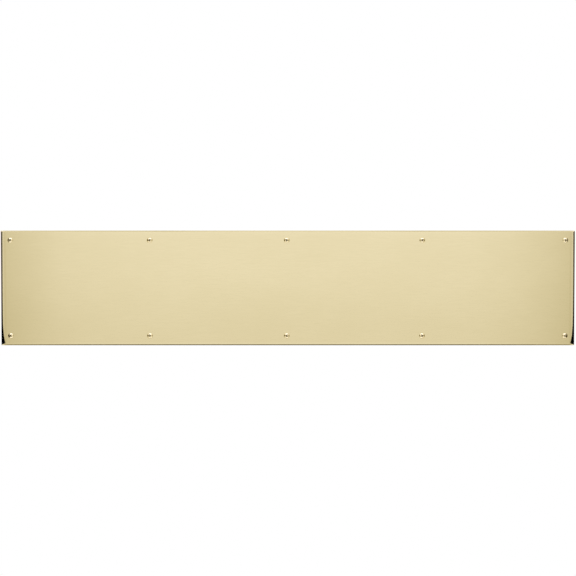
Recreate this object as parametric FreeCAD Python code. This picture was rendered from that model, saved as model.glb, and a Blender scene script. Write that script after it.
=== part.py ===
import FreeCAD, Part
import math
import os

from FreeCAD import Vector

# A kick plate: a thin polished brass sheet that is screwed along the bottom of a door.
# Millimetres. The origin is the middle of the back face, the one that lies on the door.
# +X runs along the plate, +Z is up, and +Y points out of the back face, into the door.

# --- the plate ---------------------------------------------------------------------------
PLATE_LENGTH = 762.0          # 30 in, along X
PLATE_HEIGHT = 152.4          # 6 in, along Z
PLATE_THICKNESS = 1.27        # 0.050 in sheet, along Y
BEVEL_RUN = 1.3               # how far the front bevel reaches in from each of the four edges
BEVEL_DEPTH = 0.95            # how deep the bevel goes at the edge itself
CORNER_RADIUS = 0.8           # the sheared corners are filed just enough not to cut

# --- the screw pattern -------------------------------------------------------------------
ROW_INSET = 12.7              # 1/2 in from a screw row to the nearest long edge
END_COLUMN_INSET = 12.7       # 1/2 in from an end column to the nearest short edge
INNER_COLUMNS_X = (-183.3, -1.5, 178.4)   # the three inner columns are not quite evenly spaced
CROSS_TURN_STEP = 37.0        # each cross recess stops a different number of degrees round

# --- the No. 6 oval head wood screw --------------------------------------------------------
SCREW_LENGTH = 15.875         # 5/8 in, from the rim of the head to the point
HEAD_RADIUS = 3.55
HEAD_RIM = 0.10               # short straight rim between the dome and the cone
DOME_RISE = 1.1
CONE_HALF_ANGLE = math.radians(41.0)      # the usual 82 degree head
SHANK_RADIUS = 1.75
SMOOTH_END = 5.2              # the shank is smooth from the head to here
RUNOUT_END = 6.3              # the core has come down to its thread depth here
CORE_RADIUS = 1.2
TAPER_START = 11.8            # the core starts to narrow to the gimlet point here
POINT_RADIUS = 0.07

# --- the thread ----------------------------------------------------------------------------
THREAD_PITCH = 25.4 / 18.0    # 18 turns per inch
CREST_FLAT = 0.10             # width of the ridge at its crest
FLANK_ANGLE = math.radians(30.0)
ROOT_SINK = 0.15              # how far the ridge is sunk into the core
THREAD_START = 5.35           # the ridge comes out of the run-out cone just past here
TIP_THREAD_END = 14.7         # the ridge on the point stops here, short of its tip
TIP_END_SINK = 0.15           # how much lower than the core the ridge runs where it stops
TIP_RIDGE_HEIGHT = 0.48       # the ridge on the point is a little lower than on the shank
JOIN_OVERLAP = 0.12           # the two lengths of ridge pass each other by this much

# --- the cross recess ------------------------------------------------------------------------
WING_RADIUS = 2.13            # a No. 2 cross recess is 4.26 across its wings at the dome
WING_WIDTH = 0.8
WING_DEPTH = 1.5              # depth of the steep part of the wings below their outer ends
WING_TAPER = math.radians(13.25)
BOTTOM_SLOPE = math.radians(28.0)
HUB_TOP_RADIUS = 1.0          # the round opening where the four wings meet
HUB_BOTTOM_RADIUS = 0.5

# --- the countersunk seat ----------------------------------------------------------------------
SEAT_RADIUS = 3.7             # radius of the countersink at the plate's front face
SEAT_CLEARANCE = 0.01         # along the screw, between the cone and its seat

FRONT_Y = -PLATE_THICKNESS
CONE_SLOPE = math.tan(CONE_HALF_ANGLE)
CONE_END = HEAD_RIM + (HEAD_RADIUS - SHANK_RADIUS) / CONE_SLOPE
SEAT_BACK_RADIUS = SEAT_RADIUS - PLATE_THICKNESS * CONE_SLOPE
RIM_Y = FRONT_Y + (SEAT_RADIUS - HEAD_RADIUS) / CONE_SLOPE - HEAD_RIM - SEAT_CLEARANCE
DOME_RADIUS = (HEAD_RADIUS ** 2 + DOME_RISE ** 2) / (2.0 * DOME_RISE)
DOME_CENTRE = DOME_RADIUS - DOME_RISE
END_COLUMN_X = PLATE_LENGTH / 2.0 - END_COLUMN_INSET
ROW_Z = PLATE_HEIGHT / 2.0 - ROW_INSET
COLUMNS_X = (-END_COLUMN_X,) + INNER_COLUMNS_X + (END_COLUMN_X,)
ALONG_Y = Vector(0, 1, 0)
ALONG_Z = Vector(0, 0, 1)
ALONG_X = Vector(1, 0, 0)


def rectangle(inset, y):
    """The plate's outline, inset on all four sides, at one depth."""
    half_x = PLATE_LENGTH / 2.0 - inset
    half_z = PLATE_HEIGHT / 2.0 - inset
    corners = [(-half_x, -half_z), (half_x, -half_z), (half_x, half_z), (-half_x, half_z)]
    points = [Vector(x, y, z) for x, z in corners]
    return Part.makePolygon(points + points[:1])


def rounded_blank():
    """The plain sheet with its four corners filed round."""
    blank = Part.makeBox(PLATE_LENGTH, PLATE_THICKNESS, PLATE_HEIGHT,
                         Vector(-PLATE_LENGTH / 2.0, FRONT_Y, -PLATE_HEIGHT / 2.0))
    corners = []
    for edge in blank.Edges:
        first, last = edge.Vertexes[0].Point, edge.Vertexes[-1].Point
        if abs(first.y - last.y) > PLATE_THICKNESS / 2.0:
            corners.append(edge)
    return blank.makeFillet(CORNER_RADIUS, corners)


def bevelled_slab():
    """A slab whose front narrows by the bevel on all four sides, with mitred corners."""
    bevel_y = FRONT_Y + BEVEL_DEPTH
    land = Part.Face(rectangle(0.0, 0.0)).extrude(Vector(0, bevel_y, 0))
    slope = Part.makeLoft([rectangle(0.0, bevel_y), rectangle(BEVEL_RUN, FRONT_Y)], True, True)
    return land.fuse(slope)


def seat(x, z):
    """The cone that is cut through the sheet for one screw head."""
    return Part.makeCone(SEAT_RADIUS, SEAT_BACK_RADIUS, PLATE_THICKNESS,
                         Vector(x, FRONT_Y, z), ALONG_Y)


def make_plate():
    plate = rounded_blank().common(bevelled_slab())
    for z in (ROW_Z, -ROW_Z):
        for x in COLUMNS_X:
            plate = plate.cut(seat(x, z))
    return plate.removeSplitter()


def turned(points):
    """A solid turned about Z from a closed outline of (radius, z) points."""
    places = [Vector(radius, 0, z) for radius, z in points]
    outline = Part.Face(Part.makePolygon(places + places[:1]))
    return outline.revolve(Vector(0, 0, 0), ALONG_Z, 360)


def core_radius(z):
    """Radius of the screw's core on its point."""
    share = (z - TAPER_START) / (SCREW_LENGTH - TAPER_START)
    return CORE_RADIUS + share * (POINT_RADIUS - CORE_RADIUS)


def ridge_outline(core, height, z):
    """The ridge's section beside the core: a triangle with a narrow flat crest."""
    root = core - ROOT_SINK
    crest = core + height
    half_crest = CREST_FLAT / 2.0
    half_root = half_crest + (crest - root) * math.tan(FLANK_ANGLE)
    corners = [(root, z - half_root), (crest, z - half_crest), (crest, z + half_crest), (root, z + half_root)]
    places = [Vector(radius, 0, height_on_axis) for radius, height_on_axis in corners]
    return Part.makePolygon(places + places[:1])


def shank_ridge():
    """The ridge on the straight part of the core, swept along a right-hand helix."""
    helix = Part.makeHelix(THREAD_PITCH, TAPER_START - THREAD_START, CORE_RADIUS)
    helix.translate(Vector(0, 0, THREAD_START))
    outline = ridge_outline(CORE_RADIUS, SHANK_RADIUS - CORE_RADIUS, THREAD_START)
    return Part.Wire(helix.Edges).makePipeShell([outline], True, True)


def point_ridge():
    """The ridge on the gimlet point. It is swept along a conical helix from the small end up, and then
    turned over and round, so that it carries on from where the ridge on the shank ends."""
    length = TIP_THREAD_END - TAPER_START + JOIN_OVERLAP
    small_radius = core_radius(TIP_THREAD_END) - TIP_END_SINK
    cone_angle = math.atan((CORE_RADIUS - small_radius) / length)
    slant = 1.0 / math.cos(cone_angle)
    helix = Part.makeHelix(THREAD_PITCH * slant, length * slant, small_radius, math.degrees(cone_angle))
    outline = ridge_outline(small_radius, TIP_RIDGE_HEIGHT, 0.0)
    ridge = Part.Wire(helix.Edges).makePipeShell([outline], True, True)
    ridge.rotate(Vector(0, 0, 0), ALONG_X, 180.0)
    turns_before = (TAPER_START - JOIN_OVERLAP - THREAD_START) / THREAD_PITCH
    ridge.rotate(Vector(0, 0, 0), ALONG_Z, 360.0 * (turns_before + length / THREAD_PITCH))
    ridge.translate(Vector(0, 0, TIP_THREAD_END))
    return ridge


def screw_blank():
    """Head, shank and point, turned in one piece, with the rim of the head at z = 0."""
    below = turned([(0.0, 0.0), (HEAD_RADIUS, 0.0), (HEAD_RADIUS, HEAD_RIM), (SHANK_RADIUS, CONE_END),
                    (SHANK_RADIUS, SMOOTH_END), (CORE_RADIUS, RUNOUT_END), (CORE_RADIUS, TAPER_START),
                    (POINT_RADIUS, SCREW_LENGTH), (0.0, SCREW_LENGTH)])
    ball = Part.makeSphere(DOME_RADIUS, Vector(0, 0, DOME_CENTRE))
    above_rim = Part.makeCylinder(HEAD_RADIUS + 1.0, DOME_RISE, Vector(0, 0, -DOME_RISE), ALONG_Z)
    return below.fuse(ball.common(above_rim))


def cross_recess():
    """The cutter for the recess: four wings in a tapering envelope, and the hub where they meet."""
    wing_top = DOME_CENTRE - math.sqrt(DOME_RADIUS ** 2 - WING_RADIUS ** 2)
    above = DOME_RISE + wing_top + 0.2
    top = wing_top - above
    wing_bottom = wing_top + WING_DEPTH
    bottom_radius = WING_RADIUS - WING_DEPTH * math.tan(WING_TAPER)
    tip = wing_bottom + bottom_radius * math.tan(BOTTOM_SLOPE)
    envelope = turned([(0.0, top), (WING_RADIUS + above * math.tan(WING_TAPER), top),
                       (bottom_radius, wing_bottom), (0.0, tip)])
    span = 4.0 * WING_RADIUS
    flat_wing = Part.makeBox(span, WING_WIDTH, tip - top, Vector(-span / 2.0, -WING_WIDTH / 2.0, top))
    cross_wing = Part.makeBox(WING_WIDTH, span, tip - top, Vector(-WING_WIDTH / 2.0, -span / 2.0, top))
    hub = Part.makeCone(HUB_TOP_RADIUS, HUB_BOTTOM_RADIUS, wing_bottom - top, Vector(0, 0, top), ALONG_Z)
    return flat_wing.fuse(cross_wing).common(envelope).fuse(hub)


def make_screw():
    """One finished screw on the Z axis, head down and point up."""
    screw = screw_blank().fuse(shank_ridge()).fuse(point_ridge()).cut(cross_recess())
    return screw.Solids[0]


def place_screw(screw, x, z, turn):
    """A copy of the screw, turned about its own axis and pushed into its seat."""
    placed = screw.copy()
    placed.rotate(Vector(0, 0, 0), ALONG_Z, turn)
    placed.rotate(Vector(0, 0, 0), ALONG_X, -90.0)
    placed.translate(Vector(x, RIM_Y, z))
    return placed


def main():
    os.makedirs("parts", exist_ok=True)
    make_plate().exportStep("parts/plate.step")
    screw = make_screw()
    for row, z in (("top", ROW_Z), ("bottom", -ROW_Z)):
        for number, x in enumerate(COLUMNS_X, start=1):
            steps = number if row == "top" else number + len(COLUMNS_X)
            placed = place_screw(screw, x, z, steps * CROSS_TURN_STEP)
            placed.exportStep(f"parts/screw_{row}_{number}.step")


main()
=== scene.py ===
# %% [markdown]
# # A polished brass kick plate
#
# A kick plate is a thin brass sheet that is screwed along the bottom of a door, where shoes hit it.
# This lesson dresses the engineering model of one: a bevelled, lacquered plate and ten oval head
# screws. The engineering model is loaded first and is never moved. Every new piece takes its size
# and its place from it.

# %% Load the engineering model
import math

import bmesh
import bpy
from mathutils import Matrix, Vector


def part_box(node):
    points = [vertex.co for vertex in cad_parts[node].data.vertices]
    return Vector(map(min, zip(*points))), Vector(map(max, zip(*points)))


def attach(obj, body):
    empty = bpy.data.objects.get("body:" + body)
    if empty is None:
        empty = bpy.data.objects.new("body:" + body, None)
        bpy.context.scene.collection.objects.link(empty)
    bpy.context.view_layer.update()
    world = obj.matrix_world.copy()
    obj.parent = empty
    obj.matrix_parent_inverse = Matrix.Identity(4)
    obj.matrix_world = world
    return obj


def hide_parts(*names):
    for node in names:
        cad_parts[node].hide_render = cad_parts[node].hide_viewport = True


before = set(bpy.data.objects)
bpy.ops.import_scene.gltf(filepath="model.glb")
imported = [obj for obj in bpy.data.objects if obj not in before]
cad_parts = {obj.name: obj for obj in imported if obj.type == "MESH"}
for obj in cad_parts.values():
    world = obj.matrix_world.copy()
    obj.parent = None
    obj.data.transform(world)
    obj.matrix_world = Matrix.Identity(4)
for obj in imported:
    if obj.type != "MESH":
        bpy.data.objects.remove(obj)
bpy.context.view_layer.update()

# %% [markdown]
# ## Sizes
#
# The plate's box gives its length, height and thickness, and each screw's box gives where its axis
# is. The first screw's box also gives how far the points reach. Only the small profile sizes, such
# as the bevel and the countersink, are stated here, because a box can't give them.

# %% Read the sizes
MM = 0.001
plate_low, plate_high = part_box("plate")
HALF_LENGTH = plate_high.x
HALF_HEIGHT = plate_high.z
FRONT_Y = plate_low.y
BACK_Y = plate_high.y
THICKNESS = BACK_Y - FRONT_Y

BEVEL_RUN = 1.3 * MM           # how far the front bevel reaches in from each edge
BEVEL_DEPTH = 0.95 * MM        # how deep it goes at the edge itself
SEAT_RADIUS = 3.7 * MM         # the countersink where it meets the front face
CONE_SLOPE = math.tan(math.radians(41.0))
SEAT_BACK_RADIUS = SEAT_RADIUS - THICKNESS * CONE_SLOPE

screw_places = {}
for name in sorted(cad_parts):
    if name.startswith("screw_"):
        low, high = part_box(name)
        screw_places[name] = ((low.x + high.x) / 2.0, (low.z + high.z) / 2.0)
SCREW_POINT_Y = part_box("screw_top_1")[1].y
print("plate", round(2 * HALF_LENGTH / MM, 2), "x", round(2 * HALF_HEIGHT / MM, 2), "mm")
print(len(screw_places), "screws, points at y", round(SCREW_POINT_Y / MM, 2), "mm")

# %% [markdown]
# ## Camera
#
# The plate is seen almost straight on, from a little above its middle, and it fills the frame from
# side to side. The lens is worked out from the distance and the plate's length, so that the plate
# spans nearly the whole width.

# %% Place the camera
CAMERA_DISTANCE = 1.30
CAMERA_RISE = math.radians(1.5)
FILL = 0.9953                  # share of the frame's width that the plate's length takes
SIDE_STEP = 0.0003             # the frame is this share of its width off centre
SENSOR_WIDTH = 36.0

camera_data = bpy.data.cameras.new("camera")
camera_data.sensor_width = SENSOR_WIDTH
camera_data.lens = SENSOR_WIDTH * FILL * CAMERA_DISTANCE / (2.0 * HALF_LENGTH)
camera_data.shift_x = SIDE_STEP
camera = bpy.data.objects.new("camera", camera_data)
bpy.context.scene.collection.objects.link(camera)
camera_back = CAMERA_DISTANCE * math.cos(CAMERA_RISE)
camera.location = (0.0, -camera_back, CAMERA_DISTANCE * math.sin(CAMERA_RISE))
camera.rotation_euler = (math.pi / 2.0 - CAMERA_RISE, 0.0, 0.0)
bpy.context.scene.camera = camera
print("lens", round(camera_data.lens, 2), "mm")

# %% [markdown]
# ## Studio
#
# Polished brass shows whatever stands round it, so the studio is most of its look. Metal is best shown
# in a tent of white cloth. Here the tent is the world's own light, as a function of direction, so it has
# no edges that could get in a camera's way. Angles are in degrees: across is 0 straight in front and
# grows to the right, and up is 0 at the horizon. The cloth's brightness is one curve across times one
# curve up. The flat front mirrors only a few degrees of it to the camera, so the stops lie close together
# there. Far below, the cloth has a dark gap, and the bevel along the bottom mirrors that. Two lamps
# behind the cloth, above and below, give each screw head its two highlights, and a flag at each side
# shades its flanks. Dim cloth is also warmer cloth. The backdrop that the camera sees is plain white.

# %% Node helpers
def new_node(tree, kind, **settings):
    node = tree.nodes.new(kind)
    for key, value in settings.items():
        setattr(node, key, value)
    return node


def feed(tree, socket, value):
    """Links an output to a socket, or sets the socket to a plain value."""
    if isinstance(value, bpy.types.NodeSocket):
        tree.links.new(value, socket)
    else:
        socket.default_value = value


def maths(tree, operation, *values):
    node = new_node(tree, "ShaderNodeMath", operation=operation)
    for socket, value in zip(node.inputs, values):
        feed(tree, socket, value)
    return node.outputs[0]


def blend_values(tree, share, first, second):
    node = new_node(tree, "ShaderNodeMix", data_type="FLOAT")
    feed(tree, node.inputs[0], share)
    feed(tree, node.inputs[2], first)
    feed(tree, node.inputs[3], second)
    return node.outputs[0]


def blend_colours(tree, share, first, second, mode="MIX"):
    node = new_node(tree, "ShaderNodeMix", data_type="RGBA", blend_type=mode)
    feed(tree, node.inputs[0], share)
    feed(tree, node.inputs[6], first)
    feed(tree, node.inputs[7], second)
    return node.outputs[2]


def bend_through(tree, value, stops):
    """Brightness that runs in straight lines through (angle, brightness) stops."""
    total = stops[0][1]
    for (low, low_brightness), (high, high_brightness) in zip(stops, stops[1:]):
        step = new_node(tree, "ShaderNodeMapRange")
        tree.links.new(value, step.inputs["Value"])
        step.inputs["From Min"].default_value = low
        step.inputs["From Max"].default_value = high
        step.inputs["To Min"].default_value = 0.0
        step.inputs["To Max"].default_value = high_brightness - low_brightness
        total = maths(tree, "ADD", total, step.outputs[0])
    return total


def fade_in(tree, value, low, high):
    """0 below low, 1 above high, and smooth between them."""
    node = new_node(tree, "ShaderNodeMapRange", interpolation_type="SMOOTHSTEP")
    tree.links.new(value, node.inputs["Value"])
    node.inputs["From Min"].default_value = low
    node.inputs["From Max"].default_value = high
    return node.outputs[0]


# %% The light tent
SIDE = [(7.0, 1.005), (11.0, 0.99), (13.1, 0.955), (14.3, 0.905), (15.2, 0.86), (16.2, 0.795),
        (17.4, 0.735), (18.4, 0.76), (19.9, 0.92), (24.0, 0.88), (50.0, 0.88)]
LEFT = [(-180.0, 0.62), (-130.0, 0.62), (-106.0, 0.34), (-80.0, 0.34), (-60.0, 0.80)]
RIGHT = [(62.0, 0.80), (80.0, 0.34), (106.0, 0.34), (130.0, 0.62), (180.0, 0.62)]
ACROSS = LEFT + [(-angle, brightness) for angle, brightness in reversed(SIDE)] + SIDE + RIGHT
UP = [(-90.0, 0.50), (-82.0, 0.50), (-76.0, 0.10), (-66.0, 0.10), (-60.0, 1.00), (-15.0, 1.03),
      (-8.4, 0.98), (-6.4, 0.937), (-4.85, 0.943), (-3.5, 0.958), (-2.5, 0.985), (-1.5, 1.008),
      (-0.5, 1.032), (1.0, 1.04), (2.0, 1.05), (6.7, 1.07), (25.0, 1.15), (58.0, 1.15), (64.0, 0.92),
      (90.0, 0.92)]
PANELS = [(-48.0, 48.0, 30.0, 58.0, 0.60),        # left, right, low and high edges, and the gain
          (-48.0, 48.0, -62.0, -32.0, 0.30),
          (-78.0, -38.0, -22.0, 22.0, -0.86),
          (42.0, 78.0, -20.0, 20.0, -0.70)]
PANEL_EDGE = 7.0
WARMTH = (1.0, 1.1, 1.6)       # red, green and blue fall off at these rates as the cloth gets dimmer


def panel(tree, across, up, left, right, low, high, gain):
    """The cloth's gain from a soft-edged panel behind it: a lamp adds light and a flag takes it away."""
    shape = gain
    for angle, start, end in ((across, left, right), (up, low, high)):
        rise = fade_in(tree, angle, start, start + PANEL_EDGE)
        fall_off = fade_in(tree, angle, end - PANEL_EDGE, end)
        shape = maths(tree, "MULTIPLY", shape, maths(tree, "SUBTRACT", rise, fall_off))
    return shape


world = bpy.data.worlds.new("light tent")
bpy.context.scene.world = world
world.use_nodes = True
tree = world.node_tree
tree.nodes.clear()
direction = new_node(tree, "ShaderNodeSeparateXYZ")
tree.links.new(new_node(tree, "ShaderNodeTexCoord").outputs["Generated"], direction.inputs[0])
toward_front = maths(tree, "MULTIPLY", direction.outputs[1], -1.0)
across = maths(tree, "DEGREES", maths(tree, "ARCTAN2", direction.outputs[0], toward_front))
up = maths(tree, "DEGREES", maths(tree, "ARCSINE", direction.outputs[2]))
cloth = maths(tree, "MULTIPLY", bend_through(tree, across, ACROSS), bend_through(tree, up, UP))
for edges_and_gain in PANELS:
    cloth = maths(tree, "MULTIPLY_ADD", cloth, panel(tree, across, up, *edges_and_gain), cloth)
tinted = new_node(tree, "ShaderNodeCombineXYZ")
for channel, rate in enumerate(WARMTH):
    feed(tree, tinted.inputs[channel], maths(tree, "POWER", cloth, rate))
tent_light = new_node(tree, "ShaderNodeBackground")
tree.links.new(tinted.outputs[0], tent_light.inputs["Color"])
backdrop = new_node(tree, "ShaderNodeBackground")
backdrop.inputs["Color"].default_value = (1.0, 1.0, 1.0, 1.0)
seen = new_node(tree, "ShaderNodeLightPath").outputs["Is Camera Ray"]
chooser = new_node(tree, "ShaderNodeMixShader")
tree.links.new(seen, chooser.inputs[0])
tree.links.new(tent_light.outputs[0], chooser.inputs[1])
tree.links.new(backdrop.outputs[0], chooser.inputs[2])
tree.links.new(chooser.outputs[0], new_node(tree, "ShaderNodeOutputWorld").inputs[0])
bpy.context.scene.view_settings.view_transform = "Standard"
print("light tent:", len(ACROSS), "stops across and", len(UP), "up")

# %% [markdown]
# ## Floor
#
# The floor is a plain white table top just under the plate. It glows evenly, as if it were brightly lit,
# and the brass doesn't see it: the tent's own lower half does that job.

# %% Lay the floor
FLOOR_HALF = 4.0
FLOOR_GAP = 0.1 * MM
FLOOR_Z = plate_low.z - FLOOR_GAP
floor_mesh = bpy.data.meshes.new("floor")
floor_signs = ((-1, -1), (1, -1), (1, 1), (-1, 1))
floor_corners = [(sx * FLOOR_HALF, sy * FLOOR_HALF, FLOOR_Z) for sx, sy in floor_signs]
floor_mesh.from_pydata(floor_corners, [], [(0, 1, 2, 3)])
floor = bpy.data.objects.new("floor", floor_mesh)
bpy.context.scene.collection.objects.link(floor)
floor.visible_glossy = False
floor_paint = bpy.data.materials.new("white table")
floor_paint.use_nodes = True
floor_tree = floor_paint.node_tree
floor_tree.nodes.clear()
glow = new_node(floor_tree, "ShaderNodeEmission")
glow.inputs["Color"].default_value = (1.0, 1.0, 1.0, 1.0)
floor_tree.links.new(glow.outputs[0], new_node(floor_tree, "ShaderNodeOutputMaterial").inputs[0])
floor_mesh.materials.append(floor_paint)
print("floor at", round(FLOOR_Z / MM, 2), "mm")

# %% [markdown]
# ## Dark cards
#
# A bright tent makes the edges of polished metal vanish, so a dark card stands just outside each end of
# the plate. It is narrow at the top and flares out towards the table. It is no lamp, but it glows a little
# as painted light for the light that would fall on it, and that glow fades out towards its foot. The camera
# can't see the cards, only their reflections: they draw the dark lines down the side bevels, which turn
# black and widen into a narrow wedge at the lower corners.

# %% Stand a dark card at each end
CARD_PROFILE = [(0.0, 19.0), (5.0, 15.3), (13.0, 11.0), (26.0, 8.1), (39.0, 7.6), (152.4, 8.2)]
CARD_GAP = 0.5 * MM            # between the plate's end and the card
CARD_THICKNESS = 3.0 * MM
CARD_GLOW = 0.16               # how bright the card is at its upper half
CARD_FADE = (15.0 * MM, 90.0 * MM)      # it gets lighter between these heights above the plate's foot


def make_card(name, side):
    """The profile's outline, extruded; a profile is (height above the plate's foot, reach forward) in mm."""
    near = side * (HALF_LENGTH + CARD_GAP)
    far = near + side * CARD_THICKNESS
    outline = [(FRONT_Y - reach * MM, plate_low.z + height * MM) for height, reach in CARD_PROFILE]
    outline += [(BACK_Y, plate_high.z), (BACK_Y, plate_low.z)]
    count = len(outline)
    points = [(x, y, z) for x in (near, far) for y, z in outline]
    sides = [(k, (k + 1) % count, count + (k + 1) % count, count + k) for k in range(count)]
    ends = [tuple(range(count)), tuple(range(2 * count - 1, count - 1, -1))]
    mesh = bpy.data.meshes.new(name)
    mesh.from_pydata(points, [], sides + ends)
    card = bpy.data.objects.new(name, mesh)
    bpy.context.scene.collection.objects.link(card)
    card.visible_camera = False
    card.visible_diffuse = False
    card.visible_shadow = False
    return card


def card_paint():
    paint = bpy.data.materials.new("dark_card")
    paint.use_nodes = True
    tree = paint.node_tree
    tree.nodes.clear()
    height = new_node(tree, "ShaderNodeSeparateXYZ")
    tree.links.new(new_node(tree, "ShaderNodeTexCoord").outputs["Object"], height.inputs[0])
    glow = new_node(tree, "ShaderNodeEmission")
    # Painted light: the card glows, brighter higher up, for the light that would fall on a grey card.
    lit = fade_in(tree, height.outputs[2], plate_low.z + CARD_FADE[0], plate_low.z + CARD_FADE[1])
    feed(tree, glow.inputs["Strength"], maths(tree, "MULTIPLY", lit, CARD_GLOW))
    tree.links.new(glow.outputs[0], new_node(tree, "ShaderNodeOutputMaterial").inputs[0])
    return paint


dark_card = card_paint()
for name, side in (("left_card", -1.0), ("right_card", 1.0)):
    make_card(name, side).data.materials.append(dark_card)
print("cards:", CARD_PROFILE[-1][0], "mm high,", CARD_PROFILE[0][1], "mm deep at the foot")

# %% [markdown]
# ## The plate's shape
#
# The real plate is sheared from flat sheet, its front edges are bevelled, and it is buffed last, which
# rolls the front face down a little before it meets each bevel. That roll is what makes the pale and
# tan lines along the edges of a polished plate. The cage is a grid of strips: narrow ones along the
# edges that follow the roll, and a square patch round each hole that turns into a ring. Everything
# else is a few big flat faces, so the reflection stays as flat as the sheet is.

# %% Work out the grid
ROLL_START = 7.4 * MM          # the buffed roll begins this far in from an edge
ROLL_DROP = 0.13 * MM          # and has fallen by this much where the bevel begins
GUARD = 0.25 * MM              # one thin flat strip keeps the big faces' shading flat
PATCH_HALF = 4.6 * MM          # half the side of the square patch round a hole
CORNER_RADIUS = 0.8 * MM
CORNER_STEPS = 6
HOLE_STEPS = 48
ROLL_STRIPS = 9
SAME_PLACE = 0.1 * MM          # two places nearer than this are the same one


def strip_lines(half_size, hole_centres):
    """Where the grid lines are along one axis, from one edge's bevel to the other's."""
    step = (ROLL_START - BEVEL_RUN) / ROLL_STRIPS
    insets = [BEVEL_RUN + step * i for i in range(ROLL_STRIPS + 1)] + [ROLL_START + GUARD]
    lines = [half_size - inset for inset in insets] + [inset - half_size for inset in insets]
    for centre in hole_centres:
        lines += [centre - PATCH_HALF, centre + PATCH_HALF]
    return sorted(lines)


hole_xs = sorted(set(round(x, 5) for x, z in screw_places.values()))
hole_zs = sorted(set(round(z, 5) for x, z in screw_places.values()))
hole_places = [(x, z) for x in hole_xs for z in hole_zs]
grid_x = strip_lines(HALF_LENGTH, hole_xs)
grid_z = strip_lines(HALF_HEIGHT, hole_zs)
print("grid:", len(grid_x), "x", len(grid_z), "lines")
print("holes at x", [round(x / MM, 1) for x in hole_xs], "mm")


# %% How deep the front lies at each place
def fall(inset):
    """0 on the flat of the face, growing to 1 where the bevel begins."""
    return min(1.0, max(0.0, (ROLL_START - inset) / (ROLL_START - BEVEL_RUN)))


def front_at(x, z):
    across_roll = fall(HALF_LENGTH - abs(x)) ** 2
    up_roll = fall(HALF_HEIGHT - abs(z)) ** 2
    return FRONT_Y + ROLL_DROP * (across_roll + up_roll)


def bevel_foot_at(x, z):
    inset = min(HALF_LENGTH - abs(x), HALF_HEIGHT - abs(z))
    return FRONT_Y + BEVEL_DEPTH * (1.0 - inset / BEVEL_RUN)


def back_at(x, z):
    return BACK_Y


# %% One side of the sheet: its grid, with a ring round each hole
def ring(bm, centre, radius, y, steps):
    angles = [2.0 * math.pi * i / steps for i in range(steps)]
    places = [(centre[0] + radius * math.cos(a), y, centre[1] + radius * math.sin(a)) for a in angles]
    return [bm.verts.new(place) for place in places]


def ring_patch(bm, corners, circle, outward):
    """Four faces from a square to a circle. The corners run anticlockwise from low x and low z."""
    quarter = len(circle) // 4
    for side in range(4):
        start = (side * quarter + quarter // 2 + 2 * quarter) % len(circle)
        arc = [circle[(start + i) % len(circle)] for i in range(quarter + 1)]
        face = [corners[side], corners[(side + 1) % 4]] + arc[::-1]
        bm.faces.new(face if outward else face[::-1])


def sheet_side(bm, depth_at, hole_radius, outward):
    """Returns the grid's corners by place, and one circle for each hole."""
    verts = {}
    for i, x in enumerate(grid_x):
        for j, z in enumerate(grid_z):
            verts[i, j] = bm.verts.new((x, depth_at(x, z), z))
    circles = {}
    for i in range(len(grid_x) - 1):
        for j in range(len(grid_z) - 1):
            corners = [verts[i, j], verts[i + 1, j], verts[i + 1, j + 1], verts[i, j + 1]]
            middle = ((grid_x[i] + grid_x[i + 1]) / 2.0, (grid_z[j] + grid_z[j + 1]) / 2.0)
            holes = [place for place in hole_places if math.dist(middle, place) < SAME_PLACE]
            if holes:
                circles[holes[0]] = ring(bm, holes[0], hole_radius, depth_at(*holes[0]), HOLE_STEPS)
                ring_patch(bm, corners, circles[holes[0]], outward)
            else:
                bm.faces.new(corners if outward else corners[::-1])
    return verts, circles


# %% The outline and the strips between the two sides
def outline_places():
    """The plate's outline, anticlockwise seen from the front, and the grid corner of each point."""
    last_i, last_j = len(grid_x) - 1, len(grid_z) - 1
    arcs = {}
    for number, (sx, sz) in enumerate(((1, -1), (1, 1), (-1, 1), (-1, -1))):
        start = math.radians(-90.0 + 90.0 * number)
        centre_x = sx * (HALF_LENGTH - CORNER_RADIUS)
        centre_z = sz * (HALF_HEIGHT - CORNER_RADIUS)
        arcs[sx, sz] = []
        for k in range(CORNER_STEPS + 1):
            turn = start + math.radians(90.0) * k / CORNER_STEPS
            x = centre_x + CORNER_RADIUS * math.cos(turn)
            z = centre_z + CORNER_RADIUS * math.sin(turn)
            arcs[sx, sz].append((x, z))
    places = [(x, -HALF_HEIGHT, i, 0) for i, x in enumerate(grid_x)]
    places += [(x, z, last_i, 0) for x, z in arcs[1, -1]]
    places += [(HALF_LENGTH, z, last_i, j) for j, z in enumerate(grid_z)]
    places += [(x, z, last_i, last_j) for x, z in arcs[1, 1]]
    places += [(x, HALF_HEIGHT, i, last_j) for i, x in reversed(list(enumerate(grid_x)))]
    places += [(x, z, 0, last_j) for x, z in arcs[-1, 1]]
    places += [(-HALF_LENGTH, z, 0, j) for j, z in reversed(list(enumerate(grid_z)))]
    places += [(x, z, 0, 0) for x, z in arcs[-1, -1]]
    return places


def join_rings(bm, inner, outer, outward):
    """Faces between two closed rows of points; a point that repeats makes a triangle."""
    count = len(inner)
    for k in range(count):
        face = [inner[k], outer[k], outer[(k + 1) % count], inner[(k + 1) % count]]
        face = [v for n, v in enumerate(face) if v not in face[:n]]
        bm.faces.new(face if outward else face[::-1])


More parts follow.
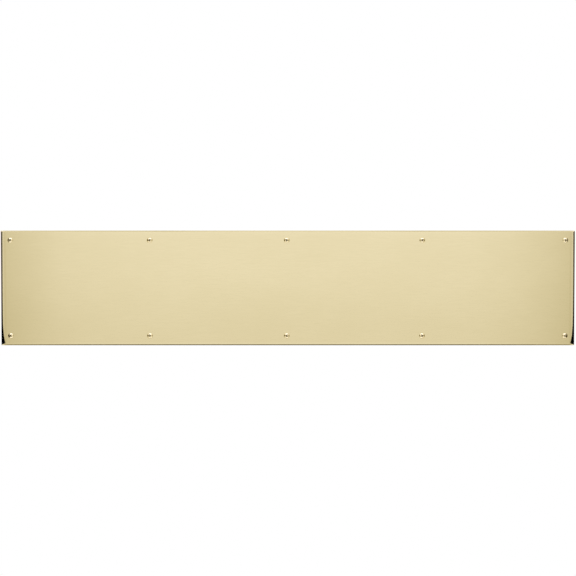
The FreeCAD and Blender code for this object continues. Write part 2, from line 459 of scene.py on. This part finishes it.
def plate_cage():
    bm = bmesh.new()
    front, front_circles = sheet_side(bm, front_at, SEAT_RADIUS, True)
    back, back_circles = sheet_side(bm, back_at, SEAT_BACK_RADIUS, False)
    places = outline_places()
    bevel_foot = [bm.verts.new((x, bevel_foot_at(x, z), z)) for x, z, i, j in places]
    back_rim = [bm.verts.new((x, BACK_Y, z)) for x, z, i, j in places]
    join_rings(bm, [front[i, j] for x, z, i, j in places], bevel_foot, True)
    join_rings(bm, bevel_foot, back_rim, True)
    join_rings(bm, [back[i, j] for x, z, i, j in places], back_rim, False)
    for hole, circle in front_circles.items():
        join_rings(bm, back_circles[hole], circle, True)
    bmesh.ops.recalc_face_normals(bm, faces=bm.faces)
    mesh = bpy.data.meshes.new("kick_plate")
    bm.to_mesh(mesh)
    bm.free()
    return mesh


def show(name, mesh):
    piece = bpy.data.objects.new(name, mesh)
    bpy.context.scene.collection.objects.link(piece)
    return piece


kick_plate = show("kick_plate", plate_cage())
kick_plate.data.shade_smooth()
print("plate cage:", len(kick_plate.data.vertices), "points,", len(kick_plate.data.polygons), "faces")

# %% [markdown]
# ## The plate's edges
#
# No real edge is perfectly sharp. A live Bevel modifier breaks every sharp edge of the cage by a few
# hundredths of a millimetre: the bevels' own edges, the mitres at the corners and the countersinks'
# rims. Harden Normals keeps the big faces flat right up to these small rounds, so each edge catches
# one thin line of light.

# %% Break the plate's edges
EDGE_BREAK = 0.06 * MM
EDGE_ANGLE = math.radians(24.0)         # only edges that turn by more than this are broken
edge_break = kick_plate.modifiers.new("edge_break", "BEVEL")
edge_break.width = EDGE_BREAK
edge_break.segments = 2
edge_break.limit_method = "ANGLE"
edge_break.angle_limit = EDGE_ANGLE
edge_break.harden_normals = True
edge_break.use_clamp_overlap = True
print("edge break", round(EDGE_BREAK / MM, 3), "mm")

# %% [markdown]
# ## The screws
#
# Each screw is a No. 6 oval head wood screw. On the real one the head, shank and point are turned in
# one go, the thread is cut, and the cross recess is punched. The model has a step for each: a profile
# turned by a Screw modifier makes the blank, a second Screw modifier with a rise per turn makes the
# thread's ridge, and a tapered cross is cut out of the head with a Boolean. The screw is made once,
# standing on its own axis with the head up, and then copied into its ten seats.

# %% The screw's sizes
SCREW_LENGTH = 15.875 * MM     # 5/8 in, from the rim of the head to the point
HEAD_RADIUS = 3.55 * MM
HEAD_RIM = 0.10 * MM           # height of the upright band between the dome and the cone
RIM_ROUND = (0.03 * MM, 0.02 * MM)      # how far the band's upper corner is taken in, and up or down
DOME_RISE = 1.1 * MM
SHANK_RADIUS = 1.75 * MM
CORE_RADIUS = 1.2 * MM
SMOOTH_LENGTH = 5.2 * MM       # from the head's rim to where the shank starts to narrow
RUNOUT_LENGTH = 6.3 * MM       # from the rim to where the core has come down to its thread depth
TAPER_LENGTH = 11.8 * MM       # from the rim to where the gimlet point begins
POINT_RADIUS = 0.07 * MM
POINT_BLUNTING = 0.05 * MM     # the point's last bit is a blunter cone of this height
TURN_STEPS = 64
DOME_STEPS = 12
SEAM_GAP = 0.002 * MM          # a turned profile's first and last copies are joined within this
DOME_RADIUS = (HEAD_RADIUS ** 2 + DOME_RISE ** 2) / (2.0 * DOME_RISE)
RIM_Y = SCREW_POINT_Y - SCREW_LENGTH
print("head rim at y", round(RIM_Y / MM, 3), "mm; dome radius", round(DOME_RADIUS / MM, 2), "mm")


# %% Turn the blank
def dome_height(radius):
    """Height of the dome over the rim, at a distance from the axis."""
    return math.sqrt(DOME_RADIUS ** 2 - radius ** 2) - (DOME_RADIUS - DOME_RISE)


def blank_profile():
    """The outline from the top of the dome down to the point, as (radius, height) with the rim at 0."""
    cone_end = HEAD_RIM + (HEAD_RADIUS - SHANK_RADIUS) / CONE_SLOPE
    dome_radii = [HEAD_RADIUS * i / DOME_STEPS for i in range(DOME_STEPS)]
    dome = [(radius, dome_height(radius)) for radius in dome_radii]
    inward, upward = RIM_ROUND
    rim = [(HEAD_RADIUS - inward, upward), (HEAD_RADIUS, -upward), (HEAD_RADIUS, -HEAD_RIM)]
    shank = [(SHANK_RADIUS, -cone_end), (SHANK_RADIUS, -SMOOTH_LENGTH), (CORE_RADIUS, -RUNOUT_LENGTH)]
    point = [(CORE_RADIUS, -TAPER_LENGTH), (POINT_RADIUS, POINT_BLUNTING - SCREW_LENGTH)]
    return dome + rim + shank + point + [(0.0, -SCREW_LENGTH)]


def turned(name, profile, closed=False, **screw_settings):
    """A profile in the XZ plane, turned about Z by a Screw modifier."""
    mesh = bpy.data.meshes.new(name)
    count = len(profile)
    edges = [(k, k + 1) for k in range(count - 1)]
    if closed:
        edges.append((count - 1, 0))
    mesh.from_pydata([(radius, 0.0, height) for radius, height in profile], edges, [])
    piece = show(name, mesh)
    turn = piece.modifiers.new("turn", "SCREW")
    turn.axis = "Z"
    turn.angle = 2.0 * math.pi
    turn.steps = turn.render_steps = TURN_STEPS
    turn.use_merge_vertices = not closed
    turn.merge_threshold = SEAM_GAP
    for key, value in screw_settings.items():
        setattr(turn, key, value)
    return piece


def applied(piece):
    """Applies the piece's modifiers, removes its object and returns the finished mesh."""
    settled = piece.evaluated_get(bpy.context.evaluated_depsgraph_get())
    mesh = bpy.data.meshes.new_from_object(settled)
    bpy.data.objects.remove(piece)
    return mesh


blank = show("screw_blank", applied(turned("screw_profile", blank_profile())))
print("blank:", len(blank.data.polygons), "faces")

# %% [markdown]
# ## The thread
#
# A thread is one ridge that climbs round the core. The Screw modifier makes it from a small section
# that rises by one pitch each turn. It rises while it turns anticlockwise, which is what makes the
# thread right-handed. On the gimlet point the ridge has to follow the cone and fade out, so its points
# are drawn in afterwards by the same rule that shapes the cone.

# %% Turn the ridge and draw in its two ends
THREAD_PITCH = 25.4 * MM / 18.0
THREAD_TURNS = 7
THREAD_END = 15.0 * MM         # from the rim of the head to the ridge's low end
THREAD_START = THREAD_END - THREAD_TURNS * THREAD_PITCH
CREST_FLAT = 0.10 * MM
RIDGE_SINK = 0.12 * MM         # how far the ridge's foot is sunk in the core
MOST_SINK = 0.4                # but never by more than this share of the core's radius
POINT_LOSS = 0.5               # the ridge loses this share of its height along the gimlet point
FADE_LENGTH = 1.0 * MM         # the ridge grows and dies away over this length at its ends
FADED_SINK = 0.03 * MM         # and ends this far under the surface
FLANK_SLOPE = math.tan(math.radians(30.0))


def core_radius(depth):
    """Radius of the blank at a depth below the rim, from the shank on."""
    stops = [(SMOOTH_LENGTH, SHANK_RADIUS), (RUNOUT_LENGTH, CORE_RADIUS), (TAPER_LENGTH, CORE_RADIUS),
             (SCREW_LENGTH, POINT_RADIUS)]
    for (near, near_radius), (far, far_radius) in zip(stops, stops[1:]):
        if depth <= far:
            share = max(0.0, (depth - near) / (far - near))
            return near_radius + share * (far_radius - near_radius)
    return POINT_RADIUS


def ridge_reach(share_out, depth):
    """Distance from the axis of a ridge point: share_out is 0 at its foot and 1 at its crest."""
    core = core_radius(depth)
    foot = core - min(RIDGE_SINK, MOST_SINK * core)
    fade = min(1.0, max(0.0, min(depth - THREAD_START, THREAD_END - depth) / FADE_LENGTH))
    point_share = max(0.0, (depth - TAPER_LENGTH) / (SCREW_LENGTH - TAPER_LENGTH))
    height = (SHANK_RADIUS - CORE_RADIUS) * (1.0 - POINT_LOSS * point_share)
    crest = min(SHANK_RADIUS, core + height * fade) - FADED_SINK * (1.0 - fade)
    return foot + share_out * (crest - foot)


def make_ridge():
    foot = CORE_RADIUS - RIDGE_SINK
    foot_half = CREST_FLAT / 2.0 + (SHANK_RADIUS - foot) * FLANK_SLOPE
    low = -THREAD_END
    outline = [(foot, low + foot_half), (SHANK_RADIUS, low + CREST_FLAT / 2.0),
               (SHANK_RADIUS, low - CREST_FLAT / 2.0), (foot, low - foot_half)]
    ridge = turned("thread_ridge", outline, True, screw_offset=THREAD_PITCH, iterations=THREAD_TURNS)
    mesh = applied(ridge)
    bm = bmesh.new()
    bm.from_mesh(mesh)
    bmesh.ops.holes_fill(bm, edges=bm.edges)
    for vert in bm.verts:
        radius = math.hypot(vert.co.x, vert.co.y)
        pull = ridge_reach((radius - foot) / (SHANK_RADIUS - foot), -vert.co.z) / radius
        vert.co.x *= pull
        vert.co.y *= pull
    bmesh.ops.recalc_face_normals(bm, faces=bm.faces)
    bm.to_mesh(mesh)
    bm.free()
    return show("thread_ridge", mesh)


ridge = make_ridge()
print("ridge:", len(ridge.data.polygons), "faces,", THREAD_TURNS, "turns")

# %% [markdown]
# ## The cross recess
#
# The punch that strikes the recess has four thin wings that taper towards its tip, and a round hub
# where they meet. Its outline at any height is the same loop of points with other radii, so the punch
# is a stack of such loops, skinned, with one point at the bottom. A Boolean then takes it out of the
# head, Weld closes up the specks that the cut leaves, and a small Bevel softens the struck edges. Once
# the thread is joined on, points that almost touch are merged, which clears away sliver triangles.

# %% Shape the punch
WING_RADIUS = 2.13 * MM        # at the surface of the dome: a No. 2 recess is 4.26 mm across
WING_DEPTH = 1.5 * MM
WING_TAPER = math.tan(math.radians(13.25))
BOTTOM_SLOPE = math.tan(math.radians(28.0))
WING_TOP = dome_height(WING_RADIUS)
WING_HALF_TOP = 0.42 * MM
WING_HALF_BOTTOM = 0.30 * MM
HUB_TOP = 0.95 * MM
HUB_BOTTOM = 0.48 * MM
PUNCH_CLEARANCE = 0.2 * MM     # the punch starts this far above the top of the dome
HUB_STEPS = 5
END_STEPS = 4


def punch_loop(wing_radius, wing_half, hub_radius):
    """One loop of the punch, as (x, y) places. It is a quarter, turned four times."""
    wing_end = math.asin(wing_half / wing_radius)
    hub_start = math.asin(min(wing_half / hub_radius, math.sqrt(0.5)))
    quarter = [(wing_radius, wing_end * (2.0 * k / END_STEPS - 1.0)) for k in range(END_STEPS + 1)]
    hub_span = math.pi / 2.0 - 2.0 * hub_start
    quarter += [(hub_radius, hub_start + hub_span * k / HUB_STEPS) for k in range(HUB_STEPS + 1)]
    turns = [math.pi / 2.0 * side for side in range(4)]
    return [(radius * math.cos(a + t), radius * math.sin(a + t)) for t in turns for radius, a in quarter]


def make_punch():
    top = DOME_RISE + PUNCH_CLEARANCE
    bottom = WING_TOP - WING_DEPTH
    wing_at_top = WING_RADIUS + (top - WING_TOP) * WING_TAPER
    wing_at_bottom = WING_RADIUS - WING_DEPTH * WING_TAPER
    bm = bmesh.new()
    loops = []
    for height, sizes in ((top, (wing_at_top, WING_HALF_TOP, HUB_TOP)),
                          (bottom, (wing_at_bottom, WING_HALF_BOTTOM, HUB_BOTTOM))):
        loops.append([bm.verts.new((x, y, height)) for x, y in punch_loop(*sizes)])
    bm.faces.new(loops[0])
    tip = bm.verts.new((0.0, 0.0, bottom - wing_at_bottom * BOTTOM_SLOPE))
    count = len(loops[0])
    for k in range(count):
        ahead = (k + 1) % count
        bm.faces.new((loops[0][ahead], loops[0][k], loops[1][k], loops[1][ahead]))
        bm.faces.new((loops[1][ahead], loops[1][k], tip))
    bmesh.ops.recalc_face_normals(bm, faces=bm.faces)
    mesh = bpy.data.meshes.new("punch")
    bm.to_mesh(mesh)
    bm.free()
    return show("punch", mesh)


punch = make_punch()
print("punch:", len(punch.data.polygons), "faces")


# %% Strike the recess and join the thread
SPECK = 0.012 * MM             # Weld merges points nearer than this after the cut
STRUCK_EDGE = 0.035 * MM
STRUCK_ANGLE = math.radians(32.0)       # only edges that turn by more than this are softened
SHARP_ANGLE = math.radians(30.0)        # edges that still turn by more than this are shaded sharp
DUST = 0.0015 * MM             # points nearer than this are made one at the very end


def cut(piece, operation, tool):
    step = piece.modifiers.new(operation.lower(), "BOOLEAN")
    step.operation = operation
    step.object = tool
    step.solver = "EXACT"


def make_screw_mesh():
    cut(blank, "DIFFERENCE", punch)
    weld = blank.modifiers.new("close_specks", "WELD")
    weld.merge_threshold = SPECK
    soften = blank.modifiers.new("struck_edges", "BEVEL")
    soften.width = STRUCK_EDGE
    soften.segments = 2
    soften.limit_method = "ANGLE"
    soften.angle_limit = STRUCK_ANGLE
    soften.use_clamp_overlap = False
    cut(blank, "UNION", ridge)
    mesh = applied(blank)
    bpy.data.objects.remove(punch)
    bpy.data.objects.remove(ridge)
    bm = bmesh.new()
    bm.from_mesh(mesh)
    bmesh.ops.remove_doubles(bm, verts=bm.verts, dist=DUST)
    bm.to_mesh(mesh)
    bm.free()
    mesh.name = "screw"
    mesh.shade_smooth()
    mesh.set_sharp_from_angle(angle=SHARP_ANGLE)
    return mesh


screw_mesh = make_screw_mesh()
print("screw:", len(screw_mesh.vertices), "points,", len(screw_mesh.polygons), "faces")

# %% [markdown]
# ## Ten screws in their seats
#
# The finished screw is copied ten times. Before a copy is laid down, every point stores where it is in
# the screw's own frame, in an attribute. The finish reads that attribute, so the marks of turning run
# round each screw's own axis wherever it sits. Each copy is then turned further than the last, because
# nobody stops every screwdriver at the same angle, and laid into its seat with its head to the front.

# %% Seat the screws
CROSS_TURN_STEP = math.radians(37.0)
SCREWS_IN_A_ROW = 5


def keep_own_places(mesh):
    own_place = mesh.attributes.new("own_place", "FLOAT_VECTOR", "POINT")
    for spot, vert in zip(own_place.data, mesh.vertices):
        spot.vector = vert.co


def seated(node, x, z):
    number = int(node[-1]) + (SCREWS_IN_A_ROW if "bottom" in node else 0)
    mesh = screw_mesh.copy()
    mesh.transform(Matrix.Rotation(-number * CROSS_TURN_STEP, 4, "Z"))
    mesh.transform(Matrix.Rotation(math.pi / 2.0, 4, "X"))
    mesh.transform(Matrix.Translation((x, RIM_Y, z)))
    return show("brass_" + node, mesh)


keep_own_places(screw_mesh)
brass_screws = {node: seated(node, x, z) for node, (x, z) in screw_places.items()}
bpy.data.meshes.remove(screw_mesh)
print("seated:", sorted(brass_screws))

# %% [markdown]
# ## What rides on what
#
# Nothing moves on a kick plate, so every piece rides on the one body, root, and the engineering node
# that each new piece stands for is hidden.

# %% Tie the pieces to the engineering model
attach(kick_plate, "root")
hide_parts("plate")
for node, brass_screw in brass_screws.items():
    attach(brass_screw, "root")
    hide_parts(node)
print("tied:", 1 + len(brass_screws), "pieces")

# %% [markdown]
# ## Finish of the plate
#
# The front is buffed brass under clear lacquer. Metal has no colour of its own, only tinted
# reflections, so the tint is the whole colour and the lacquer is a coat on top. Buffing leaves hairlines
# along the plate and faint clouds where the wheel pressed harder. They are noise that is stretched
# along X, and they change how rough the metal is more than how it is coloured. The lacquer is thinnest
# along the edges, so the metal dulls there first. The back is never polished: it keeps the rolling mill's
# duller skin, with coarser streaks and a little tarnish.

# %% Texture helpers
def split(tree, vector):
    node = new_node(tree, "ShaderNodeSeparateXYZ")
    tree.links.new(vector, node.inputs[0])
    return node.outputs[0], node.outputs[1], node.outputs[2]


def noise(tree, place, lumps, detail=2.0):
    """Soft noise from 0 to 1, with its own number of lumps per metre along X, Y and Z."""
    stretch = new_node(tree, "ShaderNodeMapping")
    tree.links.new(place, stretch.inputs["Vector"])
    stretch.inputs["Scale"].default_value = lumps
    node = new_node(tree, "ShaderNodeTexNoise")
    tree.links.new(stretch.outputs[0], node.inputs["Vector"])
    node.inputs["Scale"].default_value = 1.0
    node.inputs["Detail"].default_value = detail
    return node.outputs["Fac"]


def new_finish(name):
    finish = bpy.data.materials.new(name)
    finish.use_nodes = True
    tree = finish.node_tree
    tree.nodes.clear()
    shader = new_node(tree, "ShaderNodeBsdfPrincipled")
    shader.inputs["Metallic"].default_value = 1.0
    tree.links.new(shader.outputs[0], new_node(tree, "ShaderNodeOutputMaterial").inputs[0])
    return finish, tree, shader


def rough_surface(tree, shader, height, depth):
    """Bumps of a given depth in metres, from a height between 0 and 1."""
    bump = new_node(tree, "ShaderNodeBump")
    feed(tree, bump.inputs["Height"], height)
    bump.inputs["Distance"].default_value = depth
    tree.links.new(bump.outputs[0], shader.inputs["Normal"])


# %% The plate's lacquered brass
BRASS = (0.786, 0.679, 0.414, 1.0)
DEEP_BRASS = (0.768, 0.661, 0.397, 1.0)
HAIRLINE_BRASS = (0.730, 0.630, 0.370, 1.0)
MILL_BRASS = (0.72, 0.585, 0.33, 1.0)
DULL_BRASS = (0.60, 0.47, 0.25, 1.0)
TARNISH = (0.42, 0.27, 0.13, 1.0)
POLISH_REACH = 0.34 * MM       # the buffing wheel's work ends this far in front of the back
POLISH_FADE = 0.08 * MM        # and fades out over this depth
WEAR_REACH = 2.2 * MM          # the lacquer is worn up to this far in from an edge
CLOUD_LUMPS = (11.0, 11.0, 16.0)        # these five are lumps per metre along X, Y and Z
HAIRLINE_LUMPS = (70.0, 9000.0, 9000.0)
WEAR_LUMPS = (260.0, 260.0, 260.0)
STREAK_LUMPS = (9.0, 700.0, 700.0)
STAIN_LUMPS = (16.0, 16.0, 22.0)
POLISHED_ROUGHNESS = 0.03      # where there are no marks at all; each kind of mark adds to it
MILL_ROUGHNESS = 0.22
MARK_DEPTH = 0.004 * MM        # of the rolling mill's streaks; the hairlines are far shallower
HAIRLINE_SHARE = 0.12          # their depth as a share of that
LACQUER = 0.5                  # how strongly the clear coat shows
LACQUER_ROUGHNESS = 0.04


def plate_finish():
    finish, tree, shader = new_finish("lacquered_brass")
    place = new_node(tree, "ShaderNodeTexCoord").outputs["Object"]
    x, y, z = split(tree, place)
    inset_x = maths(tree, "SUBTRACT", HALF_LENGTH, maths(tree, "ABSOLUTE", x))
    inset_z = maths(tree, "SUBTRACT", HALF_HEIGHT, maths(tree, "ABSOLUTE", z))
    inset = maths(tree, "MINIMUM", inset_x, inset_z)
    unpolished = fade_in(tree, y, BACK_Y - POLISH_REACH, BACK_Y - POLISH_REACH + POLISH_FADE)
    clouds = noise(tree, place, CLOUD_LUMPS, 3.0)
    hairlines = noise(tree, place, HAIRLINE_LUMPS)
    patches = noise(tree, place, WEAR_LUMPS, 4.0)
    edge_wear = maths(tree, "SUBTRACT", 1.0, fade_in(tree, inset, 0.0, WEAR_REACH))
    edge_wear = maths(tree, "MULTIPLY", edge_wear, fade_in(tree, patches, 0.35, 0.7))
    mill_streaks = noise(tree, place, STREAK_LUMPS, 4.0)
    stains = noise(tree, place, STAIN_LUMPS, 5.0)
    spots = maths(tree, "MULTIPLY", unpolished, fade_in(tree, stains, 0.40, 0.90))

    polished = blend_colours(tree, fade_in(tree, clouds, 0.3, 0.7), BRASS, DEEP_BRASS)
    polished = blend_colours(tree, fade_in(tree, hairlines, 0.45, 0.75), polished, HAIRLINE_BRASS)
    polished = blend_colours(tree, maths(tree, "MULTIPLY", edge_wear, 0.25), polished, MILL_BRASS)
    mill = blend_colours(tree, fade_in(tree, mill_streaks, 0.3, 0.8), MILL_BRASS, DULL_BRASS)
    mill = blend_colours(tree, maths(tree, "MULTIPLY", spots, 0.45), mill, TARNISH)
    feed(tree, shader.inputs["Base Color"], blend_colours(tree, unpolished, polished, mill))

    polished_roughness = maths(tree, "MULTIPLY_ADD", hairlines, 0.05, POLISHED_ROUGHNESS)
    polished_roughness = maths(tree, "MULTIPLY_ADD", clouds, 0.03, polished_roughness)
    polished_roughness = maths(tree, "MULTIPLY_ADD", edge_wear, 0.10, polished_roughness)
    mill_roughness = maths(tree, "MULTIPLY_ADD", mill_streaks, 0.22, MILL_ROUGHNESS)
    mill_roughness = maths(tree, "MULTIPLY_ADD", spots, 0.15, mill_roughness)
    roughness = blend_values(tree, unpolished, polished_roughness, mill_roughness)
    feed(tree, shader.inputs["Roughness"], roughness)

    hairline_marks = maths(tree, "MULTIPLY", hairlines, HAIRLINE_SHARE)
    marks = blend_values(tree, unpolished, hairline_marks, mill_streaks)
    rough_surface(tree, shader, marks, MARK_DEPTH)
    shader.inputs["Coat Weight"].default_value = LACQUER
    shader.inputs["Coat Roughness"].default_value = LACQUER_ROUGHNESS
    return finish


kick_plate.data.materials.append(plate_finish())
print("plate finish:", len(kick_plate.data.materials[0].node_tree.nodes), "nodes")

# %% [markdown]
# ## Finish of the screws
#
# The screws are solid brass, turned and tumbled bright. The turning tool leaves fine rings, which are
# noise read at (distance from the axis, height) so that it can't change round the screw. The recess is
# struck and never polished, so it is duller the deeper it goes. It is also painted darker the deeper it
# goes, in specks: partly for the wax and dust that stay in it, partly as painted shade for its shadow.
# The thread below the head is as cut: duller again.

# %% The screws' turned brass
SCREW_BRASS = (0.90, 0.76, 0.46, 1.0)
THREAD_BRASS = (0.74, 0.58, 0.30, 1.0)
# The recess's dark colour: partly wax and dust, partly painted shade.
RECESS_DIRT_AND_SHADE = (0.10, 0.065, 0.035, 1.0)
RECESS_FLOOR = -1.45 * MM      # the recess mask, with its dirt and painted shade, is only above this height; the rim is at 0
RECESS_MARGIN = 0.06 * MM      # and no further from the axis than the wings' ends and this much
RECESS_FADE_DEPTHS = (0.04 * MM, 0.9 * MM)    # under the dome: it starts at the first and is full at the second
RING_LUMPS = (9000.0, 1.0, 9000.0)      # per metre outward, unused, and along the axis
RECESS_SPECK_LUMPS = (2600.0, 2600.0, 2600.0)
TURNED_ROUGHNESS = 0.04        # where there are no marks at all; each kind of mark adds to it
TOOL_MARK_DEPTH = 0.002 * MM


def screw_finish():
    finish, tree, shader = new_finish("turned_brass")
    place = new_node(tree, "ShaderNodeAttribute", attribute_name="own_place").outputs["Vector"]
    x, y, z = split(tree, place)
    square = maths(tree, "MULTIPLY_ADD", x, x, maths(tree, "MULTIPLY", y, y))
    radius = maths(tree, "SQRT", square)
    lathe_place = new_node(tree, "ShaderNodeCombineXYZ")
    feed(tree, lathe_place.inputs[0], radius)
    feed(tree, lathe_place.inputs[2], z)
    rings = noise(tree, lathe_place.outputs[0], RING_LUMPS, 3.0)
    specks = noise(tree, place, RECESS_SPECK_LUMPS, 4.0)

    ball = maths(tree, "SUBTRACT", DOME_RADIUS ** 2, square)
    dome = maths(tree, "SUBTRACT", maths(tree, "SQRT", ball), DOME_RADIUS - DOME_RISE)
    sunk = fade_in(tree, maths(tree, "SUBTRACT", dome, z), *RECESS_FADE_DEPTHS)
    inside = maths(tree, "LESS_THAN", radius, WING_RADIUS + RECESS_MARGIN)
    above = maths(tree, "GREATER_THAN", z, RECESS_FLOOR)
    recess = maths(tree, "MULTIPLY", sunk, maths(tree, "MULTIPLY", inside, above))
    below_head = maths(tree, "LESS_THAN", z, -HEAD_RIM)
    as_cut = maths(tree, "MULTIPLY", below_head, maths(tree, "SUBTRACT", 1.0, recess))

    colour = blend_colours(tree, as_cut, SCREW_BRASS, THREAD_BRASS)
    # Painted shade and dirt: the recess's colour darkens with depth, in specks, for its shadow and the wax
    # in it.
    dirt_and_shade = maths(tree, "MULTIPLY", recess, fade_in(tree, specks, 0.15, 0.6))
    feed(tree, shader.inputs["Base Color"], blend_colours(tree, dirt_and_shade, colour, RECESS_DIRT_AND_SHADE))
    roughness = maths(tree, "MULTIPLY_ADD", rings, 0.08, TURNED_ROUGHNESS)
    roughness = maths(tree, "MULTIPLY_ADD", as_cut, 0.20, roughness)
    roughness = maths(tree, "MULTIPLY_ADD", recess, 0.30, roughness)
    feed(tree, shader.inputs["Roughness"], roughness)
    rough_surface(tree, shader, blend_values(tree, recess, rings, specks), TOOL_MARK_DEPTH)
    return finish


turned_brass = screw_finish()
for brass_screw in brass_screws.values():
    brass_screw.data.materials.append(turned_brass)
print("screw finish:", len(turned_brass.node_tree.nodes), "nodes")
